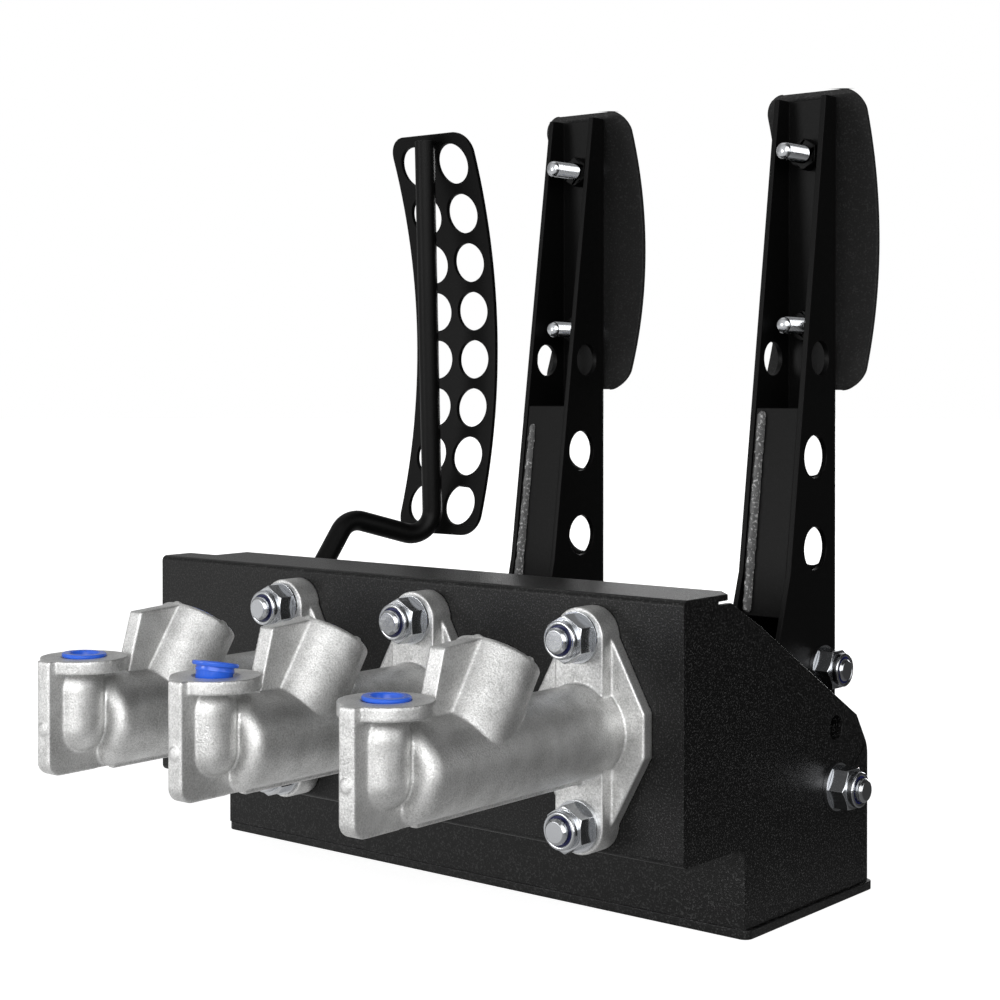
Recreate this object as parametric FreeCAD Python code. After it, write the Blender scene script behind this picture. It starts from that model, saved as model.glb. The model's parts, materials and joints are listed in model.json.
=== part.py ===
import FreeCAD, Part
import math
import os

V = FreeCAD.Vector
ALONG_X = V(1, 0, 0)
ALONG_Y = V(0, 1, 0)
ALONG_Z = V(0, 0, 1)

# All sizes are millimetres. X runs to the right and Z up from the floor.
# Y runs from the cylinders to the driver, and starts at the front panel's outer face.

# Folded steel box
sheet = 2.0
box_width = 233.4
box_height = 108.4
step_height = 28.5
step_depth = 33.8
lip_depth = 30.0
lip_corner_run = 14.0
lip_corner_depth = 14.0
lip_chamfer = 6.0
fold_radius = 2.0
cheek_rear_y = 112.0
cheek_corner = 10.0
cheek_rear_top_z = 49.3
cheek_shoulder_z = 97.2
cheek_shoulder_y = 42.0
cheek_knee_z = 60.6
cheek_knee_y = 104.7
cheek_tip_y = 26.3
lip_gap = 1.0
lip_gap_start_y = 19.0
divider_drop = 14.0
divider_rear_inset = 8.0
left_divider_x = -62.0
right_divider_x = 40.0
base_thickness = 3.0
base_proud = 1.0
base_rear_y = 114.7
base_corner = 3.0
floor_hole_radius = 4.25
floor_hole_pitch_x = 180.0
floor_hole_pitch_y = 40.0
spare_hole_radius = 4.0
spare_hole_y = 90.4
spare_hole_z = 58.2

# Fasteners
m8_radius = 4.0
m8_clearance = 0.25
thread_clearance = 0.05
m8_flats = 13.0
m8_head_height = 5.3
nut_hex_height = 5.8
nut_collar_radius = 5.85
nut_height = 8.0
nylon_radius = 5.1
nylon_depth = 1.5
nylon_recess = 0.3
washer_radius = 8.0
washer_thickness = 1.6
bolt_end = 2.4
clevis_bolt_end = 1.0
m8_tip_chamfer = 0.8
hex_rim = 0.1
hex_rim_slope = 2.0
m6_radius = 3.0
m6_flats = 10.0
m6_nut_height = 5.0
m6_tip_chamfer = 0.6

# Master cylinders
cylinder_x = {"front_brake": -43.3, "rear_brake": 16.8, "clutch": 84.4}
bore_radius = {"front_brake": 7.95, "rear_brake": 8.9, "clutch": 9.525}
cylinder_z = 67.34
stud_spacing = 57.15
flange_thickness = 4.5
flange_tip = 21.0
flange_tip_flat = 6.7
ear_radius = 9.0
column_thickness = 9.0
barrel_radius = 14.2
barrel_front_y = -91.6
barrel_nose_round = 1.2
spigot_radius = 13.0
spigot_length = 6.0
spigot_clearance = 0.1
keel_width = 3.0
keel_depth = 1.6
keel_front_y = -84.0
web_width = 5.8
web_front_y = -110.0
web_rear_y = -85.0
web_bottom_z = 52.9
web_corner = 4.5
outlet_y = -94.3
outlet_radius = 6.7
outlet_bottom_z = 59.0
disc_radius = 13.4
disc_bottom_z = 84.0
disc_top_z = 88.0
outlet_hole_radius = 5.7
outlet_hole_depth = 5.5
outlet_seat_depth = 0.9
drilling_radius = 2.0
inlet_foot_y = -65.3
inlet_lean = 33.6
inlet_length = 32.8
inlet_radius = 13.0
inlet_rim_round = 1.0
inlet_hole_radius = 9.2
inlet_hole_depth = 8.0
gusset_width = 5.6
gusset_front_y = -79.2
gusset_top_y = -73.9
gusset_top_z = 99.9
gusset_sink = 0.3
bore_depth = 78.0
plug_flange_overhang = 1.15
plug_flange_height = 1.3
plug_clearance = 0.05
plug_wall = 1.1
plug_neck_length = 4.5
plug_stub_radius = 1.2
middle_plug_lift = 2.6

# Inside each cylinder
clip_y = 1.2
clip_thickness = 1.2
clip_bite = 0.9
clip_width = 2.1
clip_mouth = 6.0
piston_clearance = 0.05
piston_rear_y = 0.7
piston_length = 28.0
piston_cup_radius = 5.9
piston_cup_depth = 13.5
seal_width = 3.0
seal_depth = 1.6
seal_inset = 4.0
spring_wire_radius = 0.7
spring_turns = 9
spring_clearance = 1.2
spring_end_gap = 0.3
boot_wall = 1.5
boot_length = 16.0
boot_hole_radius = 8.8
boot_grip = 3.0
boot_shoulder = 1.0
boot_clearance = 0.05

# Pushrods and clevises
pushrod_radius = 4.0
ball_gap = 0.6
clevis_gap = 8.4
clevis_height = 16.0
clevis_rear = 8.0
clevis_fork_depth = 14.0
clevis_body = 12.0
clevis_pin_clearance = 0.05
rod_insert = 10.0
rod_socket_relief = 0.5
rod_nut_height = 5.0
brake_clevis_width = 15.0

# Pivot shaft
pivot_y = 89.5
pivot_z = 38.9
hub_radius = 8.0
hub_length = 30.0
running_clearance = 0.05
side_clearance = 0.3
spacer_radius = 6.0

# Clutch and brake arms
arm_width = 21.0
arm_sheet = 2.0
arm_top_z = 274.0
arm_top_depth = 8.7
arm_slope = 0.142
arm_low_z = 107.0
arm_heel_z = 60.0
arm_pivot_radius = 14.0
arm_fold_radius = 2.5
arm_rear_y = {"clutch": 130.0, "brake": 124.3}
web_hole_radius = 6.0
web_hole_z = 181.4
web_hole_back = 12.4
light_hole_radius = 7.5
light_hole_back = 15.5
light_hole_heights = [147.0, 115.0]
closing_top_z = 164.0
closing_bottom_z = 92.0
closing_inset = 0.5
closing_clearance = 0.02
clutch_clevis_setback = 12.0
clutch_clevis_z = 73.0
brake_bar_setback = 16.3
brake_bar_z = 71.0
balance_tube_outer = 11.0
balance_tube_length = 27.0
bearing_radius = 8.0
bearing_width = 9.0
bearing_fit = 0.02
bar_radius = 5.0
bar_overhang = 11.0

# Clutch and brake pads
pad_width = 40.0
pad_bottom_z = 170.0
pad_top_z = 277.0
pad_sheet = 2.0
pad_bulge = 13.0
pad_lip = 6.5
pad_end_offset = 3.6
pad_corner = 8.0
pad_stud_heights = [254.0, 193.0]
pad_stud_reach = 21.0
pad_spacer_radius = 4.8

# Throttle pedal
throttle_x = -80.7
throttle_hub_x = -95.0
throttle_hub_length = 24.0
throttle_bar_x = -79.2
throttle_rod_radius = 4.0
throttle_pad_width = 42.4
throttle_pad_sheet = 2.0
throttle_pad_low_y = 113.0
throttle_pad_low_z = 111.3
throttle_pad_high_y = 108.0
throttle_pad_high_z = 272.8
throttle_pad_bulge = 15.2
throttle_pad_corner = 8.0
throttle_hole_radius = 7.8
throttle_hole_pitch_x = 19.3
throttle_hole_pitch_z = 19.67
throttle_hole_rows = 8
throttle_bend_radius = 9.0
throttle_bend_points = [(56.0, 93.0), (77.0, 119.3)]
throttle_low_drop = 2.4
throttle_bar_inset = 3.0
throttle_seat_gap = 0.1
throttle_lever_length = 34.0
throttle_lever_width = 12.0
throttle_lever_thickness = 4.0
throttle_lever_inset = 1.0
cable_eye_radius = 3.0

# Worked out from the sizes above
half_width = box_width / 2
origin_y = (step_depth + base_rear_y) / 2
stud_z = [cylinder_z - stud_spacing / 2, cylinder_z + stud_spacing / 2]
stud_end_y = -column_thickness - washer_thickness - nut_height - bolt_end
inlet_turn = math.radians(inlet_lean)
inlet_direction = V(0, math.sin(inlet_turn), math.cos(inlet_turn))
inlet_forward = V(0, -math.cos(inlet_turn), math.sin(inlet_turn))
clutch_clevis_y = arm_rear_y["clutch"] - clutch_clevis_setback
brake_bar_y = arm_rear_y["brake"] - brake_bar_setback
arm_x = {"clutch": cylinder_x["clutch"], "brake": (cylinder_x["front_brake"] + cylinder_x["rear_brake"]) / 2}
hinge = {
    "clutch": V(cylinder_x["clutch"], clutch_clevis_y, clutch_clevis_z),
    "front_brake": V(cylinder_x["front_brake"], brake_bar_y, brake_bar_z),
    "rear_brake": V(cylinder_x["rear_brake"], brake_bar_y, brake_bar_z),
}
cup_bottom_y = piston_rear_y - piston_cup_depth
ball_y = cup_bottom_y + ball_gap + pushrod_radius


def box(x_low, x_high, y_low, y_high, z_low, z_high):
    return Part.makeBox(x_high - x_low, y_high - y_low, z_high - z_low, V(x_low, y_low, z_low))


def bar(start, end, radius):
    run = end - start
    return Part.makeCylinder(radius, run.Length, start, run)


def ring(start, end, outer, inner):
    return bar(start, end, outer).cut(bar(start, end, inner))


def outline(steps):
    edges = []
    here = steps[0]
    for step in steps[1:] + [steps[0]]:
        if isinstance(step, tuple):
            middle, there = step
            edges.append(Part.Arc(here, middle, there).toShape())
        else:
            there = step
            edges.append(Part.LineSegment(here, there).toShape())
        here = there
    return Part.Face(Part.Wire(edges))


def side_plate(points, x_low, x_high):
    face = outline([V(x_low, y, z) for y, z in points])
    return face.extrude(V(x_high - x_low, 0, 0))


def front_plate(steps, y_low, y_high):
    return outline(steps).extrude(V(0, y_high - y_low, 0))


def straight_edges(shape, direction, wanted):
    found = []
    for edge in shape.Edges:
        if edge.Curve.TypeId != "Part::GeomLine":
            continue
        run = edge.lastVertex().Point - edge.firstVertex().Point
        if run.cross(direction).Length < 0.001 * run.Length and wanted(edge.CenterOfMass):
            found.append(edge)
    return found


def near(y, z):
    return lambda point: abs(point.y - y) < 0.01 and abs(point.z - z) < 0.01


def round_lines(shape, direction, radius, wanted):
    return shape.makeFillet(radius, straight_edges(shape, direction, wanted))


def fuse(shapes):
    whole = shapes[0]
    for shape in shapes[1:]:
        whole = whole.fuse(shape)
    return whole.removeSplitter()


def cut(shape, tools):
    for tool in tools:
        shape = shape.cut(tool)
    return shape


def save(name, shapes):
    for shape in shapes:
        shape.translate(V(0, -origin_y, 0))
    whole = shapes[0] if len(shapes) == 1 else Part.makeCompound(shapes)
    whole.exportStep("parts/" + name + ".step")


# Fasteners, each made along a direction from its seat

def hexagon(seat, direction, flats, height):
    corner_radius = flats / math.sqrt(3)
    turn = FreeCAD.Rotation(ALONG_Z, direction)
    corners = []
    for corner in range(6):
        angle = math.radians(60 * corner + 30)
        arm = V(corner_radius * math.cos(angle), corner_radius * math.sin(angle), 0)
        corners.append(seat + turn.multVec(arm))
    prism = outline(corners).extrude(direction * height)
    rim = flats / 2 + hex_rim
    return prism.common(Part.makeCone(rim + hex_rim_slope * height, rim, height, seat, direction))


def lock_nut(seat, direction):
    collar = bar(seat, seat + direction * nut_height, nut_collar_radius)
    body = hexagon(seat, direction, m8_flats, nut_hex_height).fuse(collar)
    thread = bar(seat, seat + direction * nut_height, m8_radius + thread_clearance)
    pocket_start = seat + direction * (nut_height - nylon_recess - nylon_depth)
    pocket = bar(pocket_start, seat + direction * nut_height, nylon_radius)
    return cut(body, [thread, pocket])


def nylon_insert(seat, direction):
    start = seat + direction * (nut_height - nylon_recess - nylon_depth)
    return ring(start, start + direction * nylon_depth, nylon_radius, m8_radius + thread_clearance)


def washer(seat, direction):
    return ring(seat, seat + direction * washer_thickness, washer_radius, m8_radius + m8_clearance)


def end_chamfer(rod, end, size):
    rim = [edge for edge in rod.Edges if (edge.CenterOfMass - end).Length < size / 2]
    return rod.makeChamfer(size, rim[:1])


def bolt(seat, direction, length):
    head = hexagon(seat, direction * -1, m8_flats, m8_head_height)
    end = seat + direction * length
    shank = end_chamfer(bar(seat, end, m8_radius), end, m8_tip_chamfer)
    return head.fuse(shank).removeSplitter()


# Box

def front_panel():
    low, top = base_thickness, box_height
    profile = [
        (lip_depth, top), (0, top), (0, step_height), (step_depth, step_height), (step_depth, low),
        (step_depth + sheet, low), (step_depth + sheet, step_height + sheet), (sheet, step_height + sheet),
        (sheet, top - sheet), (lip_depth, top - sheet),
    ]
    panel = side_plate(profile, -half_width, half_width)
    for y, z in [(0, top), (0, step_height)]:
        panel = round_lines(panel, ALONG_X, fold_radius, near(y, z))
    panel = round_lines(panel, ALONG_X, fold_radius, near(step_depth, step_height))
    notch = [
        V(-half_width, lip_corner_depth, top), V(-half_width + lip_corner_run, lip_corner_depth, top),
        V(-half_width + lip_corner_run, lip_depth, top), V(-half_width, lip_depth, top),
    ]
    chamfer = [
        V(half_width - lip_chamfer, lip_depth, top), V(half_width, lip_depth, top),
        V(half_width, lip_depth - lip_chamfer, top),
    ]
    cuts = [outline(corners).extrude(V(0, 0, -sheet)) for corners in (notch, chamfer)]
    for name, x in cylinder_x.items():
        cuts.append(bar(V(x, 0, cylinder_z), V(x, sheet, cylinder_z), spigot_radius + spigot_clearance))
        for z in stud_z:
            cuts.append(bar(V(x, 0, z), V(x, sheet, z), m8_radius + m8_clearance))
    return cut(panel, cuts)


def cheek_points():
    under_lip = box_height - sheet
    return [
        (sheet, step_height + sheet), (step_depth + sheet, step_height + sheet),
        (step_depth + sheet, base_thickness), (cheek_rear_y, base_thickness),
        (cheek_rear_y, cheek_rear_top_z), (cheek_knee_y, cheek_knee_z),
        (cheek_shoulder_y, cheek_shoulder_z), (cheek_tip_y, under_lip - lip_gap),
        (lip_gap_start_y, under_lip - lip_gap), (lip_gap_start_y, under_lip), (sheet, under_lip),
    ]


def cheek(x_low):
    plate = side_plate(cheek_points(), x_low, x_low + sheet)
    plate = round_lines(plate, ALONG_X, cheek_corner, near(cheek_rear_y, cheek_rear_top_z))
    across = ALONG_X * sheet
    shaft, spare = V(x_low, pivot_y, pivot_z), V(x_low, spare_hole_y, spare_hole_z)
    plate = plate.cut(bar(shaft, shaft + across, m8_radius + m8_clearance))
    return plate.cut(bar(spare, spare + across, spare_hole_radius))


def divider(x_centre):
    rear = cheek_rear_y - divider_rear_inset
    points = [
        (sheet, step_height + sheet), (step_depth + sheet, step_height + sheet),
        (step_depth + sheet, base_thickness), (rear, base_thickness), (rear, cheek_rear_top_z),
        (cheek_shoulder_y, cheek_shoulder_z - divider_drop), (sheet, cheek_shoulder_z - divider_drop),
    ]
    x_low = x_centre - sheet / 2
    shaft = bar(V(x_low, pivot_y, pivot_z), V(x_low + sheet, pivot_y, pivot_z), m8_radius + m8_clearance)
    return side_plate(points, x_low, x_low + sheet).cut(shaft)


def floor_holes():
    places = []
    for x in (-floor_hole_pitch_x / 2, floor_hole_pitch_x / 2):
        for y in (origin_y - floor_hole_pitch_y / 2, origin_y + floor_hole_pitch_y / 2):
            places.append((x, y))
    return places


def base_plate():
    edge = half_width + base_proud
    plate = box(-edge, edge, step_depth, base_rear_y, 0, base_thickness)
    plate = round_lines(plate, ALONG_Z, base_corner, lambda point: True)
    holes = [bar(V(x, y, 0), V(x, y, base_thickness), floor_hole_radius) for x, y in floor_holes()]
    return cut(plate, holes)


# Master cylinders

def flange(x):
    top, low = stud_z[1], stud_z[0]
    steps = [
        V(x + flange_tip, 0, cylinder_z + flange_tip_flat), V(x + ear_radius, 0, top),
        (V(x, 0, top + ear_radius), V(x - ear_radius, 0, top)),
        V(x - flange_tip, 0, cylinder_z + flange_tip_flat),
        V(x - flange_tip, 0, cylinder_z - flange_tip_flat),
        V(x - ear_radius, 0, low), (V(x, 0, low - ear_radius), V(x + ear_radius, 0, low)),
        V(x + flange_tip, 0, cylinder_z - flange_tip_flat),
    ]
    column = [
        V(x + ear_radius, 0, top), (V(x, 0, top + ear_radius), V(x - ear_radius, 0, top)),
        V(x - ear_radius, 0, low), (V(x, 0, low - ear_radius), V(x + ear_radius, 0, low)),
    ]
    return front_plate(steps, 0, -flange_thickness).fuse(front_plate(column, 0, -column_thickness))


def front_web(x):
    corner = web_corner * (1 - math.sqrt(0.5))
    steps = [
        V(x, web_rear_y, disc_top_z), V(x, web_front_y, disc_top_z),
        V(x, web_front_y, web_bottom_z + web_corner),
        (V(x, web_front_y + corner, web_bottom_z + corner), V(x, web_front_y + web_corner, web_bottom_z)),
        V(x, web_rear_y, web_bottom_z),
    ]
    plate = outline(steps).extrude(V(web_width, 0, 0))
    plate.translate(V(-web_width / 2, 0, 0))
    return plate


def inlet_line(x):
    foot = V(x, inlet_foot_y, cylinder_z)
    return foot, foot + inlet_direction * inlet_length


def gusset(x):
    foot, end = inlet_line(x)
    crown = end - inlet_direction * inlet_rim_round + inlet_forward * (inlet_radius - gusset_sink)
    points = [
        (gusset_front_y, cylinder_z + barrel_radius), (gusset_top_y, gusset_top_z), (crown.y, crown.z),
        (foot.y, foot.z), (gusset_front_y, foot.z),
    ]
    return side_plate(points, x - gusset_width / 2, x + gusset_width / 2)


def keel(x):
    bottom_z = cylinder_z - barrel_radius - keel_depth
    half = keel_width / 2
    return box(x - half, x + half, keel_front_y, -column_thickness, bottom_z, cylinder_z - barrel_radius / 2)


def outlet_boss(x):
    foot = V(x, outlet_y, outlet_bottom_z + outlet_radius)
    stem = bar(foot, V(x, outlet_y, disc_bottom_z), outlet_radius).fuse(Part.makeSphere(outlet_radius, foot))
    return stem.fuse(bar(V(x, outlet_y, disc_bottom_z), V(x, outlet_y, disc_top_z), disc_radius))


def end_round(rod, end, size):
    rim = [edge for edge in rod.Edges if (edge.CenterOfMass - end).Length < size / 2]
    return rod.makeFillet(size, rim[:1])


def inlet_boss(x):
    foot, end = inlet_line(x)
    return end_round(bar(foot, end, inlet_radius), end, inlet_rim_round)


def cylinder_body(name):
    x = cylinder_x[name]
    face = V(x, 0, cylinder_z)
    nose = V(x, barrel_front_y, cylinder_z)
    metal = fuse([
        flange(x),
        end_round(bar(face, nose, barrel_radius), nose, barrel_nose_round),
        bar(face, V(x, spigot_length, cylinder_z), spigot_radius),
        keel(x), front_web(x), outlet_boss(x), inlet_boss(x), gusset(x),
    ])
    bore_end = V(x, -bore_depth, cylinder_z)
    port = V(x, outlet_y, disc_top_z)
    port_floor = port - ALONG_Z * outlet_hole_depth
    port_seat = port - ALONG_Z * outlet_seat_depth
    inlet_foot, inlet_end = inlet_line(x)
    drillings = [
        bar(V(x, spigot_length, cylinder_z), bore_end, bore_radius[name]),
        bar(bore_end, V(x, outlet_y, cylinder_z), drilling_radius),
        bar(port_floor, V(x, outlet_y, cylinder_z), drilling_radius),
        bar(port_floor, port, outlet_hole_radius),
        bar(port_seat, port, outlet_hole_radius + plug_flange_overhang),
        bar(inlet_foot, inlet_end, drilling_radius),
        bar(inlet_end - inlet_direction * inlet_hole_depth, inlet_end, inlet_hole_radius),
        clip_groove(name),
    ]
    for z in stud_z:
        drillings.append(bar(V(x, 0, z), V(x, -column_thickness, z), m8_radius + m8_clearance))
    return cut(metal, drillings)


def clip_groove(name):
    start = V(cylinder_x[name], clip_y, cylinder_z)
    return bar(start, start + ALONG_Y * clip_thickness, bore_radius[name] + clip_bite)


def retaining_clip(name):
    start = V(cylinder_x[name], clip_y, cylinder_z)
    end = start + ALONG_Y * clip_thickness
    outer = bore_radius[name] + clip_bite
    half = clip_mouth / 2
    mouth = box(start.x - half, start.x + half, start.y, end.y, start.z - outer, start.z)
    return ring(start, end, outer, outer - clip_width).cut(mouth)


def plug(seat, direction, hole_radius):
    neck = hole_radius - plug_clearance
    top = seat + direction * plug_flange_height
    foot = seat - direction * plug_neck_length
    body = bar(seat, top, neck + plug_flange_overhang).fuse(bar(seat, foot, neck)).removeSplitter()
    hollow = bar(foot + direction * plug_wall, top, neck - plug_wall)
    stub = bar(foot, seat - direction * plug_wall, plug_stub_radius)
    return body.cut(hollow).fuse(stub).removeSplitter()


def outlet_plug(name):
    lift = middle_plug_lift if name == "rear_brake" else 0
    seat_z = disc_top_z - outlet_seat_depth + lift
    return plug(V(cylinder_x[name], outlet_y, seat_z), ALONG_Z, outlet_hole_radius)


def inlet_plug(name):
    foot, end = inlet_line(cylinder_x[name])
    return plug(end, inlet_direction, inlet_hole_radius)


def dust_boot(name):
    x = cylinder_x[name]
    inner = spigot_radius + boot_clearance
    grip_y = spigot_length - boot_grip
    end_y = spigot_length + boot_length
    points = [
        (inner, grip_y), (inner + boot_wall, grip_y), (inner + boot_wall, spigot_length + boot_shoulder),
        (boot_hole_radius + boot_wall, end_y), (boot_hole_radius, end_y),
        (inner - boot_shoulder, spigot_length + boot_clearance), (inner, spigot_length + boot_clearance),
    ]
    face = outline([V(x + radius, y, cylinder_z) for radius, y in points])
    return face.revolve(V(x, 0, cylinder_z), ALONG_Y, 360)


def piston(name):
    x = cylinder_x[name]
    radius = bore_radius[name] - piston_clearance
    front_y = piston_rear_y - piston_length
    rod = bar(V(x, piston_rear_y, cylinder_z), V(x, front_y, cylinder_z), radius)
    cup = bar(V(x, piston_rear_y, cylinder_z), V(x, cup_bottom_y, cylinder_z), piston_cup_radius)
    return cut(rod, [cup] + [seal_space(name, y) for y in seal_places()])


def seal_places():
    front_y = piston_rear_y - piston_length
    return [front_y + seal_inset, cup_bottom_y - seal_inset]


def seal_space(name, y):
    x = cylinder_x[name]
    floor = bore_radius[name] - piston_clearance - seal_depth
    return ring(V(x, y, cylinder_z), V(x, y + seal_width, cylinder_z), bore_radius[name], floor)


def seal(name, y):
    x = cylinder_x[name]
    outer = bore_radius[name] - piston_clearance
    return ring(V(x, y, cylinder_z), V(x, y + seal_width, cylinder_z), outer, outer - seal_depth)


def return_spring(name):
    x = cylinder_x[name]
    start_y = piston_rear_y - piston_length - spring_end_gap - spring_wire_radius
    end_y = -bore_depth + spring_end_gap + spring_wire_radius
    mean_radius = bore_radius[name] - spring_wire_radius - spring_clearance
    pitch = (start_y - end_y) / spring_turns
    path = Part.makeHelix(pitch, start_y - end_y, mean_radius)
    circle = Part.Wire(Part.makeCircle(spring_wire_radius, V(mean_radius, 0, 0), ALONG_Y))
    coil = Part.Wire(path.Edges).makePipeShell([circle], True, True)
    coil.rotate(V(0, 0, 0), ALONG_X, 90)
    coil.translate(V(x, start_y, cylinder_z))
    return coil


def flange_studs():
    places = []
    for x in cylinder_x.values():
        for z in stud_z:
            places.append(V(x, 0, z))
    return places


# Pushrods, each made along Y from its ball end and then laid towards its hinge

def rod_run(name):
    return hinge[name] - V(cylinder_x[name], ball_y, cylinder_z)


def lay_along(shape, name):
    run = rod_run(name)
    shape.rotate(V(0, 0, 0), ALONG_X, math.degrees(math.atan2(run.z, run.y)))
    shape.translate(hinge[name] - run)
    return shape


def clevis_face(name):
    return V(0, rod_run(name).Length - clevis_fork_depth - clevis_body, 0)


def pushrod(name):
    end = clevis_face(name) + ALONG_Y * rod_insert
    rod = bar(V(0, 0, 0), end, pushrod_radius).fuse(Part.makeSphere(pushrod_radius)).removeSplitter()
    return lay_along(rod, name)


def rod_nut(name):
    seat = clevis_face(name)
    nut = hexagon(seat, ALONG_Y * -1, m8_flats, rod_nut_height)
    hole = bar(seat, seat - ALONG_Y * rod_nut_height, pushrod_radius + thread_clearance)
    return lay_along(nut.cut(hole), name)


def clevis_blank(name, width):
    length = rod_run(name).Length
    half = width / 2
    high = clevis_height / 2
    start = clevis_face(name)
    body = box(-half, half, start.y, length, -high, high)
    body = body.fuse(bar(V(-half, length, 0), V(half, length, 0), clevis_rear)).removeSplitter()
    socket_end = start + ALONG_Y * (rod_insert + rod_socket_relief)
    return body.cut(bar(start, socket_end, pushrod_radius + thread_clearance))


def clutch_clevis():
    length = rod_run("clutch").Length
    width = arm_width - 2 * arm_sheet - 2 * side_clearance
    half = clevis_gap / 2
    high = clevis_height
    slot = box(-half, half, length - clevis_fork_depth, length + clevis_rear, -high, high)
    pin = bar(V(-width, length, 0), V(width, length, 0), m8_radius + clevis_pin_clearance)
    return lay_along(cut(clevis_blank("clutch", width), [slot, pin]), "clutch")


def brake_clevis(name):
    length = rod_run(name).Length
    width = brake_clevis_width
    hole = bar(V(-width, length, 0), V(width, length, 0), bar_radius + running_clearance)
    return lay_along(clevis_blank(name, width).cut(hole), name)


# Clutch and brake pedals

def arm_depth(z):
    return arm_top_depth + arm_slope * (arm_top_z - z)


def arm_hub(name):
    x = arm_x[name]
    low, high = V(x - hub_length / 2, pivot_y, pivot_z), V(x + hub_length / 2, pivot_y, pivot_z)
    return ring(low, high, hub_radius, m8_radius + running_clearance)


def arm_side_holes(name):
    rear = arm_rear_y[name]
    holes = [(rear - web_hole_back, web_hole_z, web_hole_radius), (pivot_y, pivot_z, hub_radius)]
    for z in light_hole_heights:
        holes.append((rear - light_hole_back, z, light_hole_radius))
    if name == "clutch":
        holes.append((clutch_clevis_y, clutch_clevis_z, m8_radius + thread_clearance))
    else:
        holes.append((brake_bar_y, brake_bar_z, balance_tube_outer))
    return holes


def pedal_arm(name):
    x = arm_x[name]
    rear = arm_rear_y[name]
    low_x, high_x = x - arm_width / 2, x + arm_width / 2
    spread = arm_pivot_radius * math.sqrt(0.5)
    points = [
        (rear - arm_top_depth, arm_top_z), (rear, arm_top_z), (rear, arm_heel_z),
        (pivot_y + spread, pivot_z - spread), (pivot_y - arm_pivot_radius, pivot_z),
        (rear - arm_depth(arm_low_z), arm_low_z),
    ]
    pivot_end = bar(V(low_x, pivot_y, pivot_z), V(high_x, pivot_y, pivot_z), arm_pivot_radius)
    solid = side_plate(points, low_x, high_x).fuse(pivot_end).removeSplitter()
    solid = round_lines(solid, ALONG_Z, arm_fold_radius, lambda point: abs(point.y - rear) < 0.01)
    cuts = [box(low_x + arm_sheet, high_x - arm_sheet, -half_width, rear - arm_sheet, 0, 2 * arm_top_z)]
    for y, z, radius in arm_side_holes(name):
        cuts.append(bar(V(low_x, y, z), V(high_x, y, z), radius))
    for z in light_hole_heights:
        cuts.append(bar(V(x, rear - arm_sheet, z), V(x, rear, z), light_hole_radius))
    for z in pad_stud_heights:
        cuts.append(bar(V(x, rear - arm_sheet, z), V(x, rear, z), m6_radius + m8_clearance))
    return cut(solid, cuts)


def closing_plate(name):
    x = arm_x[name]
    rear = arm_rear_y[name]
    inside = arm_width / 2 - arm_sheet - closing_clearance
    top_y = rear - arm_depth(closing_top_z) + closing_inset
    low_y = rear - arm_depth(closing_bottom_z) + closing_inset
    points = [(top_y, closing_top_z), (top_y + arm_sheet, closing_top_z),
              (low_y + arm_sheet, closing_bottom_z), (low_y, closing_bottom_z)]
    return side_plate(points, x - inside, x + inside)


def pad_curve(rear, thickness):
    middle_z = (pad_bottom_z + pad_top_z) / 2
    apex = rear + pad_bulge - thickness
    end = rear + pad_end_offset - thickness
    return V(0, end, pad_bottom_z + pad_lip), V(0, apex, middle_z), V(0, end, pad_top_z - pad_lip)


def pedal_pad(name):
    x = arm_x[name]
    rear = arm_rear_y[name]
    low, middle, high = pad_curve(rear, 0)
    low_in, middle_in, high_in = pad_curve(rear, pad_sheet)
    seat_low = V(0, rear, pad_bottom_z)
    seat_high = V(0, rear, pad_top_z)
    steps = [
        seat_low, low, (middle, high), seat_high,
        V(0, rear, pad_top_z - pad_sheet), high_in, (middle_in, low_in), V(0, rear, pad_bottom_z + pad_sheet),
    ]
    plate = outline(steps).extrude(V(pad_width, 0, 0))
    plate.translate(V(x - pad_width / 2, 0, 0))
    half = pad_width / 2
    blank = box(x - half, x + half, rear - pad_bulge, rear + 2 * pad_bulge, pad_bottom_z, pad_top_z)
    blank = round_lines(blank, ALONG_Y, pad_corner, lambda point: True)
    return plate.common(blank)


def behind_pad(name):
    x = arm_x[name]
    rear = arm_rear_y[name]
    low, middle, high = pad_curve(rear, pad_sheet)
    far_y = rear + 2 * pad_bulge
    face = outline([low, (middle, high), V(0, far_y, high.z), V(0, far_y, low.z)])
    solid = face.extrude(V(pad_width, 0, 0))
    solid.translate(V(x - pad_width / 2, 0, 0))
    return solid


def pad_studs(name):
    x, rear = arm_x[name], arm_rear_y[name]
    studs = []
    for z in pad_stud_heights:
        tip = V(x, rear - pad_stud_reach, z)
        shank = end_chamfer(bar(tip, V(x, rear + pad_bulge, z), m6_radius), tip, m6_tip_chamfer)
        studs.append(shank.cut(behind_pad(name)))
    return studs


def pad_nuts(name):
    x, rear = arm_x[name], arm_rear_y[name]
    nuts = []
    for z in pad_stud_heights:
        seat = V(x, rear - arm_sheet, z)
        nut = hexagon(seat, ALONG_Y * -1, m6_flats, m6_nut_height)
        nuts.append(nut.cut(bar(seat, seat - ALONG_Y * m6_nut_height, m6_radius + thread_clearance)))
    return nuts


def pad_spacers(name):
    x, rear = arm_x[name], arm_rear_y[name]
    spacers = []
    for z in pad_stud_heights:
        tube = ring(V(x, rear, z), V(x, rear + pad_bulge, z), pad_spacer_radius, m6_radius + thread_clearance)
        spacers.append(tube.cut(behind_pad(name)))
    return spacers


def clutch_bolt_seats():
    half = arm_width / 2
    left = V(arm_x["clutch"] - half, clutch_clevis_y, clutch_clevis_z)
    right = V(arm_x["clutch"] + half, clutch_clevis_y, clutch_clevis_z)
    return left, right


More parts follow.
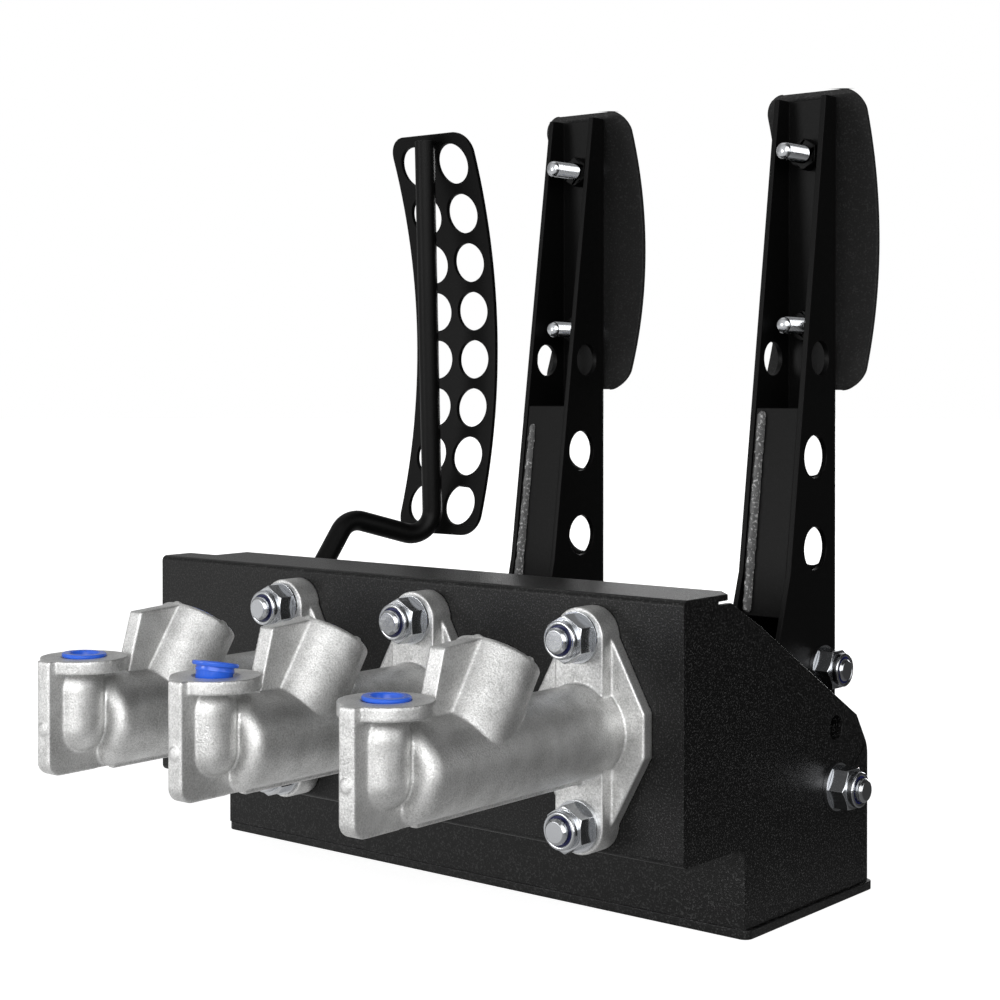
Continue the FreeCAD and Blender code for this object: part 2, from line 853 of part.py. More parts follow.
def balance_tube():
    x = arm_x["brake"]
    low = V(x - balance_tube_length / 2, brake_bar_y, brake_bar_z)
    high = V(x + balance_tube_length / 2, brake_bar_y, brake_bar_z)
    return ring(low, high, balance_tube_outer, bearing_radius + running_clearance)


def balance_bearing():
    centre = V(arm_x["brake"], brake_bar_y, brake_bar_z)
    half = bearing_width / 2
    inner = bar_radius + bearing_fit
    edge = math.sqrt(bearing_radius ** 2 - half ** 2)
    corners = [(-half, inner), (-half, edge), (half, edge), (half, inner)]
    low_inner, low_edge, high_edge, high_inner = [centre + V(x, 0, radius) for x, radius in corners]
    crown = centre + V(0, 0, bearing_radius)
    face = outline([low_inner, low_edge, (crown, high_edge), high_inner])
    return face.revolve(centre, ALONG_X, 360)


def balance_bar():
    low = hinge["front_brake"] - ALONG_X * bar_overhang
    high = hinge["rear_brake"] + ALONG_X * bar_overhang
    return bar(low, high, bar_radius)


# Pivot shaft

def pivot_spacer_runs():
    hub_edges = []
    for name in ("brake", "clutch"):
        hub_edges.append((arm_x[name] - hub_length / 2, arm_x[name] + hub_length / 2))
    throttle = (throttle_hub_x - throttle_hub_length / 2, throttle_hub_x + throttle_hub_length / 2)
    brake, clutch = hub_edges
    inner = half_width - sheet
    gap = side_clearance
    wall = sheet / 2
    return [
        (-inner, throttle[0] - gap), (throttle[1] + gap, left_divider_x - wall),
        (left_divider_x + wall, brake[0] - gap), (brake[1] + gap, right_divider_x - wall),
        (right_divider_x + wall, clutch[0] - gap), (clutch[1] + gap, inner),
    ]


def pivot_spacers():
    spacers = []
    for low, high in pivot_spacer_runs():
        start, end = V(low, pivot_y, pivot_z), V(high, pivot_y, pivot_z)
        spacers.append(ring(start, end, spacer_radius, m8_radius + running_clearance))
    return spacers


def pivot_seats():
    left = V(-half_width, pivot_y, pivot_z)
    right = V(half_width, pivot_y, pivot_z)
    return left, right


# Throttle pedal

def rounded_path(points, radius):
    edges = []
    here = points[0]
    for before, corner, after in zip(points, points[1:], points[2:]):
        back = (before - corner).normalize()
        ahead = (after - corner).normalize()
        half_turn = back.getAngle(ahead) / 2
        run = radius / math.tan(half_turn)
        enter, leave = corner + back * run, corner + ahead * run
        inward = (back + ahead).normalize()
        middle = corner + inward * (radius / math.sin(half_turn) - radius)
        edges.append(Part.LineSegment(here, enter).toShape())
        edges.append(Part.Arc(enter, middle, leave).toShape())
        here = leave
    edges.append(Part.LineSegment(here, points[-1]).toShape())
    return Part.Wire(edges)


def throttle_pad_arc():
    low = V(0, throttle_pad_low_y, throttle_pad_low_z)
    high = V(0, throttle_pad_high_y, throttle_pad_high_z)
    return low, (low + high) / 2 + ALONG_Y * throttle_pad_bulge, high


def throttle_bar_end(z):
    face = Part.Arc(*throttle_pad_arc()).toShape().Curve
    face_y = face.Center.y + math.sqrt(face.Radius ** 2 - (z - face.Center.z) ** 2)
    return V(throttle_bar_x, face_y - throttle_seat_gap - throttle_rod_radius, z)


def throttle_rod():
    start = V(throttle_hub_x, pivot_y, pivot_z)
    low = throttle_bar_end(throttle_pad_low_z + throttle_bar_inset)
    high = throttle_bar_end(throttle_pad_high_z - throttle_bar_inset)
    corner = low - (high - low).normalize() * (throttle_bar_inset + throttle_low_drop)
    route = [start] + [V(throttle_hub_x, y, z) for y, z in throttle_bend_points] + [corner, high]
    path = rounded_path(route, throttle_bend_radius)
    first = (route[1] - route[0]).normalize()
    circle = Part.Wire(Part.makeCircle(throttle_rod_radius, start, first))
    rod = path.makePipeShell([circle], True, True)
    hub = bar(start - ALONG_X * throttle_hub_length, start + ALONG_X * throttle_hub_length, hub_radius)
    return rod.cut(hub)


def throttle_hub():
    half = throttle_hub_length / 2
    low, high = V(throttle_hub_x - half, pivot_y, pivot_z), V(throttle_hub_x + half, pivot_y, pivot_z)
    return ring(low, high, hub_radius, m8_radius + running_clearance)


def throttle_lever():
    high_x = throttle_hub_x + throttle_hub_length / 2 - throttle_lever_inset
    low_x = high_x - throttle_lever_thickness
    half = throttle_lever_width / 2
    tip_z = pivot_z + throttle_lever_length
    blank = box(low_x, high_x, pivot_y - half, pivot_y + half, pivot_z, tip_z)
    blank = blank.fuse(bar(V(low_x, pivot_y, tip_z), V(high_x, pivot_y, tip_z), half))
    hub = bar(V(low_x, pivot_y, pivot_z), V(high_x, pivot_y, pivot_z), hub_radius)
    cable = bar(V(low_x, pivot_y, tip_z), V(high_x, pivot_y, tip_z), cable_eye_radius)
    return cut(blank, [hub, cable])


def throttle_pad():
    low, middle, high = throttle_pad_arc()
    skin = ALONG_Y * throttle_pad_sheet
    left, right = throttle_x - throttle_pad_width / 2, throttle_x + throttle_pad_width / 2
    plate = outline([low, (middle, high), high + skin, (middle + skin, low + skin)])
    plate = plate.extrude(V(throttle_pad_width, 0, 0))
    plate.translate(V(left, 0, 0))
    back_y, front_y = min(low.y, high.y) - throttle_pad_sheet, middle.y + 2 * throttle_pad_sheet
    blank = box(left, right, back_y, front_y, low.z, high.z)
    blank = round_lines(blank, ALONG_Y, throttle_pad_corner, lambda point: True)
    holes = []
    for row in range(throttle_hole_rows):
        z = middle.z + (row - (throttle_hole_rows - 1) / 2) * throttle_hole_pitch_z
        for side in (-1, 1):
            x = throttle_x + side * throttle_hole_pitch_x / 2
            holes.append(bar(V(x, back_y, z), V(x, front_y, z), throttle_hole_radius))
    return cut(plate.common(blank), holes)


os.makedirs("parts", exist_ok=True)
cylinders = list(cylinder_x)

save("front_panel", [front_panel()])
save("right_cheek", [cheek(half_width - sheet)])
save("left_cheek", [cheek(-half_width)])
save("base_plate", [base_plate()])
save("pedal_dividers", [divider(left_divider_x), divider(right_divider_x)])
for name in cylinders:
    save(name + "_cylinder", [cylinder_body(name)])
    save(name + "_piston", [piston(name)])
    save(name + "_seals", [seal(name, y) for y in seal_places()])
    save(name + "_spring", [return_spring(name)])
    save(name + "_pushrod", [pushrod(name)])
save("port_plugs", [outlet_plug(name) for name in cylinders] + [inlet_plug(name) for name in cylinders])
save("dust_boots", [dust_boot(name) for name in cylinders])
save("retaining_clips", [retaining_clip(name) for name in cylinders])
save("clutch_clevis", [clutch_clevis()])
save("front_brake_clevis", [brake_clevis("front_brake")])
save("rear_brake_clevis", [brake_clevis("rear_brake")])
save("clutch_rod_nut", [rod_nut("clutch")])
save("front_brake_rod_nut", [rod_nut("front_brake")])
save("rear_brake_rod_nut", [rod_nut("rear_brake")])

left_seat, right_seat = pivot_seats()
outer_washer = right_seat + ALONG_X * washer_thickness
FORWARD = ALONG_Y * -1
washer_seats = [(place + FORWARD * column_thickness, FORWARD) for place in flange_studs()]
nut_seats = [(seat + FORWARD * washer_thickness, FORWARD) for seat, way in washer_seats]
washer_seats += [(left_seat, ALONG_X * -1), (right_seat, ALONG_X)]
nut_seats += [(outer_washer, ALONG_X)]
save("flange_bolts", [bolt(place + ALONG_Y * sheet, FORWARD, sheet - stud_end_y) for place in flange_studs()])
save("lock_nuts", [lock_nut(seat, way) for seat, way in nut_seats])
save("nylon_inserts", [nylon_insert(seat, way) for seat, way in nut_seats])
save("washers", [washer(seat, way) for seat, way in washer_seats])
pivot_length = box_width + 2 * washer_thickness + nut_height + bolt_end
save("pivot_bolt", [bolt(left_seat - ALONG_X * washer_thickness, ALONG_X, pivot_length)])
save("pivot_spacers", pivot_spacers())

for name in ("clutch", "brake"):
    save(name + "_arm", [pedal_arm(name)])
    save(name + "_hub", [arm_hub(name)])
    save(name + "_closing_plate", [closing_plate(name)])
    save(name + "_pad", [pedal_pad(name)])
    save(name + "_pad_studs", pad_studs(name))
    save(name + "_pad_nuts", pad_nuts(name))
    save(name + "_pad_spacers", pad_spacers(name))

clutch_left, clutch_right = clutch_bolt_seats()
clutch_nut_seat = clutch_right + ALONG_X * washer_thickness
clutch_bolt_length = arm_width + 2 * washer_thickness + nut_height + clevis_bolt_end
save("clutch_clevis_bolt", [bolt(clutch_left - ALONG_X * washer_thickness, ALONG_X, clutch_bolt_length)])
save("clutch_clevis_washers", [washer(clutch_left, ALONG_X * -1), washer(clutch_right, ALONG_X)])
save("clutch_clevis_nut", [lock_nut(clutch_nut_seat, ALONG_X)])
save("clutch_nylon_insert", [nylon_insert(clutch_nut_seat, ALONG_X)])
save("balance_tube", [balance_tube()])
save("balance_bearing", [balance_bearing()])
save("balance_bar", [balance_bar()])

save("throttle_hub", [throttle_hub()])
save("throttle_lever", [throttle_lever()])
save("throttle_rod", [throttle_rod()])
save("throttle_pad", [throttle_pad()])
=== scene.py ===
import json
import math
import random

import bpy
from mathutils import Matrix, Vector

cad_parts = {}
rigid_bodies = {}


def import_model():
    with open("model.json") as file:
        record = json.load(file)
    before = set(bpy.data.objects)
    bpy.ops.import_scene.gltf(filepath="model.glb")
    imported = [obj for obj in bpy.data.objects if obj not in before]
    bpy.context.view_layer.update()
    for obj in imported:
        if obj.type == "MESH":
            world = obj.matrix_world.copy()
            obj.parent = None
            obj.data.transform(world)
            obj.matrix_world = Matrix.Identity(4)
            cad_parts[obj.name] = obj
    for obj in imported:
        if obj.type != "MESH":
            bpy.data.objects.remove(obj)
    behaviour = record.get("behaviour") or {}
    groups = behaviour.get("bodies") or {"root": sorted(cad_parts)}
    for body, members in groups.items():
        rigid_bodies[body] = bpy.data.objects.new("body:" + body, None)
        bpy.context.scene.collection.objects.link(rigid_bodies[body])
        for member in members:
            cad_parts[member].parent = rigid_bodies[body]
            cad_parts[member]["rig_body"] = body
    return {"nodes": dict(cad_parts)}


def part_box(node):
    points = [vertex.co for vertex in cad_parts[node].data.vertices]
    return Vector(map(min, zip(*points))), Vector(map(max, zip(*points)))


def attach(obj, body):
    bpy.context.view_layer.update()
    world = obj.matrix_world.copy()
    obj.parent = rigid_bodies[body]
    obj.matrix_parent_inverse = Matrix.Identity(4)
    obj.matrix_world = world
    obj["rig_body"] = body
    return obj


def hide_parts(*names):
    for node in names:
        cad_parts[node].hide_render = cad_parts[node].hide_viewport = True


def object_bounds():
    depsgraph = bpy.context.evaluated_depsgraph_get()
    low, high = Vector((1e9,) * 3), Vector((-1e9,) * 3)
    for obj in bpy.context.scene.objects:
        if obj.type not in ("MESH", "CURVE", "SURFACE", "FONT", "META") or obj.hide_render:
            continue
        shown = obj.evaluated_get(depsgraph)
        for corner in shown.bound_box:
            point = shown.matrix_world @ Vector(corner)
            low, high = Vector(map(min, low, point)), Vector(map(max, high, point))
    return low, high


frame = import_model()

cad_box = [list(corner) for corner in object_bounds()]


# Camera
# It stands to the right of the pedal box and a little above its cylinders, square on and unrolled.
# Its frame is lowered a tenth, so that the tall pedals and the floor plate both fit.
camera_data = bpy.data.cameras.new("camera")
camera_data.lens = 68.82
camera_data.sensor_width = 36.0
camera_data.shift_y = -0.1
camera = bpy.data.objects.new("camera", camera_data)
camera.location = (0.43266, -0.54482, 0.17354)
camera.rotation_euler = (math.radians(89.418), 0.0, math.radians(39.383))
bpy.context.scene.collection.objects.link(camera)
bpy.context.scene.camera = camera
bpy.context.scene.view_settings.view_transform = "Standard"


# Floor, white room and light
# A plain white studio floor in a white room, with soft boxes in front, behind, to the right and
# overhead. Gloss mirrors a dimmer room, so black coat stays black, with one window by the camera.
def add_node(tree, kind, settings=None, **links):
    """Adds a node: settings go to its sockets or its own values, links join i0, i1 or a named input."""
    node = tree.nodes.new(kind)
    for name, value in (settings or {}).items():
        if isinstance(name, int) or name in node.inputs:
            node.inputs[name].default_value = value
        else:
            setattr(node, name, value)
    for name, source in links.items():
        place = int(name[1:]) if name[1:].isdigit() else name.replace("_", " ")
        tree.links.new(source, node.inputs[place])
    return node


def linear(code):
    """Turns an sRGB hex colour into the linear values that a shader takes."""
    channels = [int(code[place:place + 2], 16) / 255.0 for place in (1, 3, 5)]
    return [c / 12.92 if c <= 0.04045 else ((c + 0.055) / 1.055) ** 2.4 for c in channels] + [1.0]


def new_material(name):
    """Gives a new material and its empty node tree."""
    material = bpy.data.materials.new(name)
    material.use_nodes = True
    material.node_tree.nodes.clear()
    return material, material.node_tree


# In a gloss the floor fades to a dark card on the right, which keeps the black coat black there.
floor_paint, tree = new_material("white_studio_floor")
path = add_node(tree, "ShaderNodeLightPath")
where = add_node(tree, "ShaderNodeNewGeometry").outputs["Position"]
distance = add_node(tree, "ShaderNodeVectorMath", {"operation": "LENGTH"}, i0=where)
far = add_node(tree, "ShaderNodeMapRange",
               {"From Min": 0.25, "From Max": 1.1, "To Min": 0.88, "To Max": 1.0},
               Value=distance.outputs["Value"])
across = add_node(tree, "ShaderNodeVectorMath", {"operation": "DOT_PRODUCT", 1: (-0.80, -0.60, 0.0)},
                  i0=where)
card = add_node(tree, "ShaderNodeMapRange",
                {"interpolation_type": "SMOOTHSTEP", "From Min": -0.25, "From Max": 0.25, "To Min": 0.06,
                 "To Max": 0.80}, Value=across.outputs["Value"])
seen = add_node(tree, "ShaderNodeMath", {"operation": "MAXIMUM"},
                i0=path.outputs["Is Glossy Ray"], i1=path.outputs["Is Transmission Ray"])
mirrored = add_node(tree, "ShaderNodeMath", {"operation": "MULTIPLY"}, i0=seen.outputs[0], i1=card.outputs[0])
straight = add_node(tree, "ShaderNodeMath", {"operation": "MULTIPLY"},
                    i0=path.outputs["Is Camera Ray"], i1=far.outputs[0])
glow = add_node(tree, "ShaderNodeMath", {"operation": "ADD"}, i0=straight.outputs[0], i1=mirrored.outputs[0])
matt = add_node(tree, "ShaderNodeBsdfDiffuse", {"Color": linear("#b0b0b0")})
white = add_node(tree, "ShaderNodeEmission", {"Color": linear("#ffffff")}, Strength=glow.outputs[0])
both = add_node(tree, "ShaderNodeAddShader", i0=matt.outputs[0], i1=white.outputs[0])
unlit = add_node(tree, "ShaderNodeMixShader", i0=seen.outputs[0], i1=both.outputs[0], i2=white.outputs[0])
add_node(tree, "ShaderNodeOutputMaterial", Surface=unlit.outputs[0])

floor_radius = 8.0
floor_gap = 0.0002
bpy.ops.object.select_all(action="DESELECT")
bpy.ops.mesh.primitive_circle_add(vertices=96, radius=floor_radius, fill_type="NGON",
                                  location=(0.0, 0.0, cad_box[0][2] - floor_gap))
floor = bpy.context.object
floor.name = "floor"
floor.data.materials.append(floor_paint)

world = bpy.data.worlds.new("white_room")
bpy.context.scene.world = world
world.use_nodes = True
tree = world.node_tree
tree.nodes.clear()
path = add_node(tree, "ShaderNodeLightPath")
where = add_node(tree, "ShaderNodeTexCoord")
rooms = []
for towards, start, end, dim, bright in (((-0.95, -0.15, 0.10), -0.60, 0.70, 0.02, 0.42),
                                         ((-0.15, -0.97, 0.12), 0.45, 0.95, 0.0, 0.50),
                                         ((0.62, -0.76, 0.16), 0.72, 0.97, 0.0, 3.9)):
    facing = add_node(tree, "ShaderNodeVectorMath", {"operation": "DOT_PRODUCT", 1: towards},
                      i0=where.outputs["Generated"])
    rooms.append(add_node(tree, "ShaderNodeMapRange",
                          {"interpolation_type": "SMOOTHSTEP", "From Min": start, "From Max": end,
                           "To Min": dim, "To Max": bright}, Value=facing.outputs["Value"]))
lit = add_node(tree, "ShaderNodeMath", {"operation": "ADD"}, i0=rooms[0].outputs[0], i1=rooms[1].outputs[0])
lit = add_node(tree, "ShaderNodeMath", {"operation": "ADD"}, i0=lit.outputs[0], i1=rooms[2].outputs[0])
level = add_node(tree, "ShaderNodeMath", {"operation": "MAXIMUM"},
                 i0=lit.outputs[0], i1=path.outputs["Is Camera Ray"])
sky = add_node(tree, "ShaderNodeBackground", {"Color": linear("#ffffff")}, Strength=level.outputs[0])
add_node(tree, "ShaderNodeOutputWorld", Surface=sky.outputs[0])

for name, place, aim, size, power in (
        ("front_soft_box", (-0.90, -1.75, 0.26), (0.0, -0.05, 0.10), 0.65, 8.0),
        ("back_soft_box", (-0.72, 1.30, 0.30), (0.0, 0.0, 0.10), 0.6, 1.3),
        ("rear_soft_box", (-0.16, 1.30, 0.25), (0.0, 0.0, 0.12), 0.4, 3.0),
        ("right_soft_box", (1.25, 0.10, 0.35), (0.0, -0.05, 0.10), 0.8, 3.2),
        ("top_soft_box", (-0.45, 0.05, 1.40), (0.0, 0.0, 0.12), 0.8, 1.15)):
    lamp_data = bpy.data.lights.new(name, "AREA")
    lamp_data.size = size
    lamp_data.energy = power
    lamp = bpy.data.objects.new(name, lamp_data)
    lamp.location = place
    run = [end - start for end, start in zip(aim, place)]
    lamp.rotation_euler = (math.atan2(math.hypot(run[0], run[1]), -run[2]), 0.0,
                           math.atan2(run[1], run[0]) - math.pi / 2)
    bpy.context.scene.collection.objects.link(lamp)


# Box
# Laser-cut 2 mm mild steel: a folded front panel, two cheeks and the two plates between the
# pedals, tacked together inside and coated as one. The thicker floor plate lies under them.
def only(piece):
    """Selects this piece alone, so that an operator acts on nothing else."""
    bpy.ops.object.select_all(action="DESELECT")
    piece.select_set(True)
    bpy.context.view_layer.objects.active = piece


def smooth(piece, angle):
    """Shades a piece smooth, apart from the edges that turn by more than this angle."""
    only(piece)
    bpy.ops.object.shade_smooth_by_angle(angle=math.radians(angle))


def coat(piece, material):
    """Makes this the piece's only material."""
    piece.data.materials.clear()
    piece.data.materials.append(material)


def finish_with(piece, kind, **settings):
    """Adds a modifier to a piece and applies it."""
    only(piece)
    modifier = piece.modifiers.new(kind.lower(), kind)
    for name, value in settings.items():
        setattr(modifier, name, value)
    bpy.ops.object.modifier_apply(modifier=modifier.name)


def join_faces(piece, gap):
    """Joins the points that lie within this gap, and makes the flat faces whole."""
    only(piece)
    bpy.ops.object.mode_set(mode="EDIT")
    bpy.ops.mesh.select_all(action="SELECT")
    bpy.ops.mesh.remove_doubles(threshold=gap)
    bpy.ops.mesh.dissolve_limited(angle_limit=math.radians(0.4))
    bpy.ops.object.mode_set(mode="OBJECT")


def joined_copy(node, name):
    """Copies a CAD node's mesh and joins its loose triangles."""
    piece = bpy.data.objects.new(name, frame["nodes"][node].data.copy())
    bpy.context.scene.collection.objects.link(piece)
    only(piece)
    bpy.ops.mesh.customdata_custom_splitnormals_clear()
    join_faces(piece, 2e-6)
    return piece


def put_on(piece, node, material, *also):
    """Coats a piece that stands for a CAD node, and lets it ride with that node's body."""
    coat(piece, material)
    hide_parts(node, *also)
    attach(piece, frame["nodes"][node]["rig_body"])


def round_edges(piece, radius):
    """Rounds a piece's sharp edges, as a coat or a tumbled finish leaves them."""
    finish_with(piece, "BEVEL", width=radius, segments=2, limit_method="ANGLE",
                angle_limit=math.radians(30), use_clamp_overlap=False, miter_outer="MITER_ARC")
    smooth(piece, 40)
    finish_with(piece, "WEIGHTED_NORMAL", keep_sharp=True)


def soft_edged(node, name, material, radius):
    """A CAD node with its edges rounded, in a finish of its own."""
    piece = joined_copy(node, name)
    round_edges(piece, radius)
    put_on(piece, node, material)


sheet_edge = 0.0003


def powder_coat(name, black, painted_glint, grain, depth, rough, spread, shine):
    """Baked polyester powder: matt black, with a fine pebbled skin whose tops get a paler colour, a painted
    glint of light.
    """
    material, tree = new_material(name)
    where = add_node(tree, "ShaderNodeTexCoord").outputs["Object"]
    pebble = add_node(tree, "ShaderNodeTexNoise", {"Scale": 1.0 / grain, "Detail": 2.0, "Roughness": 0.6},
                      Vector=where)
    # The pebble tops are painted paler in the base colour: a painted glint of light on them.
    tops = add_node(tree, "ShaderNodeMapRange", {"From Min": 0.56, "From Max": 0.64},
                    Value=pebble.outputs["Fac"])
    colour = add_node(tree, "ShaderNodeMix", {"data_type": "RGBA", 6: linear(black), 7: linear(painted_glint)},
                      i0=tops.outputs[0])
    gloss = add_node(tree, "ShaderNodeMapRange", {"To Min": rough, "To Max": rough - spread},
                     Value=tops.outputs[0])
    bump = add_node(tree, "ShaderNodeBump", {"Strength": 0.6, "Distance": depth},
                    Height=pebble.outputs["Fac"])
    shader = add_node(tree, "ShaderNodeBsdfPrincipled", {"IOR": 1.5, "Specular IOR Level": shine},
                      Base_Color=colour.outputs[2], Roughness=gloss.outputs[0], Normal=bump.outputs[0])
    add_node(tree, "ShaderNodeOutputMaterial", Surface=shader.outputs[0])
    return material


# The pebbles of the fine-texture coat are 0.3 mm across; they are drawn at 0.55 mm, to show. Their paler tops
# are painted glints of light.
textured_coat = powder_coat("fine_texture_powder_coat", "#020202", "#383838", grain=0.00055, depth=0.00014,
                            rough=0.42, spread=0.16, shine=0.26)
sheets = [joined_copy(node, node + "_sheet") for node in ("front_panel", "right_cheek", "left_cheek")]
for cheek in sheets[1:]:
    finish_with(sheets[0], "BOOLEAN", operation="UNION", object=cheek, solver="EXACT")
    bpy.data.objects.remove(cheek)
box_shell = sheets[0]
box_shell.name = "box_shell"
join_faces(box_shell, 5e-6)
round_edges(box_shell, sheet_edge)
put_on(box_shell, "front_panel", textured_coat, "right_cheek", "left_cheek")
for node in ("pedal_dividers", "base_plate"):
    soft_edged(node, node + "_sheet", textured_coat, sheet_edge)


# Weld nuts
# M8 hexagon weld nuts of plain steel, one behind the spare hole in each cheek. They are projection
# welded to the inner face before the box is coated, so they are black with it.
def weld_nut(name, cheek, inward):
    """A drilled hexagon on the inner face of a cheek."""
    low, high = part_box(cheek)
    inner_face = low.x if inward < 0 else high.x
    place = (inner_face + inward * weld_nut_height / 2, spare_hole_y, spare_hole_z)
    bpy.ops.object.select_all(action="DESELECT")
    bpy.ops.mesh.primitive_cylinder_add(vertices=32, radius=weld_nut_bore, depth=3 * weld_nut_height,
                                        location=place, rotation=(0.0, math.pi / 2, 0.0))
    drill = bpy.context.object
    bpy.ops.mesh.primitive_cylinder_add(vertices=6, radius=weld_nut_radius, depth=weld_nut_height,
                                        location=place, rotation=(0.0, math.pi / 2, 0.0))
    nut = bpy.context.object
    nut.name = name
    only(nut)
    bpy.ops.object.transform_apply(location=True, rotation=True, scale=True)
    finish_with(nut, "BEVEL", width=weld_nut_edge, segments=2, limit_method="ANGLE",
                angle_limit=math.radians(40))
    finish_with(nut, "BOOLEAN", operation="DIFFERENCE", object=drill, solver="EXACT")
    bpy.data.objects.remove(drill)
    smooth(nut, 35)
    coat(nut, textured_coat)
    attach(nut, "box")


spare_hole_y = 0.01615
spare_hole_z = 0.0582
weld_nut_radius = 0.0075
weld_nut_bore = 0.0034
weld_nut_height = 0.0065
weld_nut_edge = 0.0006
weld_nut("right_weld_nut", "right_cheek", -1)
weld_nut("left_weld_nut", "left_cheek", 1)


# Master cylinders
# Gravity die-cast aluminium alloy, left raw and shot-blasted: grey and fine-grained, with soft
# edges and filleted roots and ejector pips. Each bolts to the panel by two ears.
def alloy(name, dark, pale, grain, depth, rough):
    """Bare aluminium alloy: a metal whose grain breaks up the reflection."""
    material, tree = new_material(name)
    where = add_node(tree, "ShaderNodeTexCoord").outputs["Object"]
    fine = add_node(tree, "ShaderNodeTexNoise", {"Scale": 1.0 / grain, "Detail": 2.0, "Roughness": 0.65},
                    Vector=where)
    broad = add_node(tree, "ShaderNodeTexNoise", {"Scale": flow_marks_per_metre, "Detail": 4.0},
                     Vector=where)
    mixed = add_node(tree, "ShaderNodeMath", {"operation": "MULTIPLY_ADD", 1: 0.6, 2: 0.0},
                     i0=fine.outputs["Fac"])
    mixed = add_node(tree, "ShaderNodeMath", {"operation": "MULTIPLY_ADD", 1: 0.4},
                     i0=broad.outputs["Fac"], i2=mixed.outputs[0])
    tone = add_node(tree, "ShaderNodeMapRange", {"From Min": 0.35, "From Max": 0.65}, Value=mixed.outputs[0])
    colour = add_node(tree, "ShaderNodeMix", {"data_type": "RGBA", 6: linear(dark), 7: linear(pale)},
                      i0=tone.outputs[0])
    gloss = add_node(tree, "ShaderNodeMapRange",
                     {"From Min": 0.35, "From Max": 0.65, "To Min": rough + 0.08, "To Max": rough - 0.06},
                     Value=fine.outputs["Fac"])
    bump = add_node(tree, "ShaderNodeBump", {"Strength": 0.6, "Distance": depth}, Height=mixed.outputs[0])
    shader = add_node(tree, "ShaderNodeBsdfPrincipled", {"Metallic": 0.95}, Base_Color=colour.outputs[2],
                      Roughness=gloss.outputs[0], Normal=bump.outputs[0])
    add_node(tree, "ShaderNodeOutputMaterial", Surface=shader.outputs[0])
    return material


def centre(node):
    """The middle of a CAD node's box."""
    low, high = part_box(node)
    return (low + high) / 2


def added(casting, piece):
    """Joins a solid to a casting; the skin is drawn over both of them together later."""
    only(piece)
    bpy.ops.object.transform_apply(location=True, rotation=True, scale=True)
    casting.select_set(True)
    bpy.context.view_layer.objects.active = casting
    bpy.ops.object.join()


def add_pip(casting, place, radius, reach, turn):
    """Adds the round stub that an ejector pin leaves."""
    bpy.ops.object.select_all(action="DESELECT")
    bpy.ops.mesh.primitive_cylinder_add(vertices=20, radius=radius, depth=2 * reach, location=place,
                                        rotation=turn)
    added(casting, bpy.context.object)


def round_nose(casting, x):
    """Turns the square front edge of the barrel to a full round, then makes the web whole again."""
    flat_radius = barrel_radius - nose_round
    front_y = nose_y - waste_lead
    bpy.ops.object.select_all(action="DESELECT")
    bpy.ops.mesh.primitive_circle_add(vertices=96, radius=flat_radius, location=(x, front_y, axis_height),
                                      rotation=(math.pi / 2, 0.0, 0.0))
    waste = bpy.context.object
    bpy.ops.object.transform_apply(location=True, rotation=True, scale=True)
    bpy.ops.object.mode_set(mode="EDIT")
    bpy.ops.mesh.select_all(action="SELECT")
    profile = [(flat_radius, front_y), (flat_radius, nose_y)]
    for step in range(1, 7):
        turn = step * math.pi / 12
        profile.append((flat_radius + nose_round * math.sin(turn),
                        nose_y + nose_round * (1 - math.cos(turn))))
    profile += [(waste_radius, nose_y + nose_round), (waste_radius, front_y), (flat_radius, front_y)]
    for (radius, y), (next_radius, next_y) in zip(profile, profile[1:]):
        bpy.ops.mesh.extrude_region_move(TRANSFORM_OT_translate={"value": (0.0, next_y - y, 0.0)})
        share = next_radius / radius
        bpy.ops.transform.resize(value=(share, 1.0, share), center_override=(x, next_y, axis_height))
    bpy.ops.mesh.select_all(action="SELECT")
    bpy.ops.mesh.remove_doubles(threshold=1e-6)
    bpy.ops.mesh.normals_make_consistent(inside=False)
    bpy.ops.object.mode_set(mode="OBJECT")
    finish_with(casting, "BOOLEAN", operation="DIFFERENCE", object=waste, solver="EXACT")
    bpy.data.objects.remove(waste)
    bpy.ops.object.select_all(action="DESELECT")
    bpy.ops.mesh.primitive_cube_add(size=1.0, location=(x, web_y, web_z))
    rib = bpy.context.object
    rib.scale = (web_width, web_depth, web_height)
    added(casting, rib)


def add_stem(casting, x):
    """Adds the round-footed stem that carries the outlet's drilling down to the bore."""
    bpy.ops.object.select_all(action="DESELECT")
    bpy.ops.mesh.primitive_cylinder_add(vertices=64, radius=stem_radius, depth=stem_top - stem_foot,
                                        location=(x, stem_y, (stem_top + stem_foot) / 2))
    stem = bpy.context.object
    finish_with(stem, "BEVEL", width=stem_round, segments=9, limit_method="ANGLE",
                angle_limit=math.radians(60))
    added(casting, stem)


# The blasted skin scatters light evenly, in grains of 0.3 mm that are drawn at 0.5 mm, to show. The
# metal's flow marks under it are about 8 mm long.
flow_marks_per_metre = 130.0
cast_alloy = alloy("raw_cast_alloy", "#aeaead", "#e6e6e5", grain=0.0005, depth=0.00030, rough=0.46)
axis_height = 0.06734
boss_top_y = -0.1214
boss_top_z = 0.0947
boss_lean = math.radians(33.6)
pip_ring = 0.0118
barrel_radius = 0.0142
nose_y = -0.16585
nose_round = 0.0046
waste_lead = 0.0005
waste_radius = barrel_radius + 0.0015
web_y = nose_y + 0.0005
web_z = 0.0687
web_width = 0.0058
web_depth = 0.0105
web_height = 0.0312
stem_radius = 0.0083
stem_round = 0.0080
stem_y = -0.17115
stem_foot = 0.0588
stem_top = 0.0862
web_pip = {"radius": 0.0017, "reach": 0.0005}
rim_pip = {"radius": 0.0011, "reach": 0.0004}
skin_step = 0.00044
lines = ("front_brake", "rear_brake", "clutch")
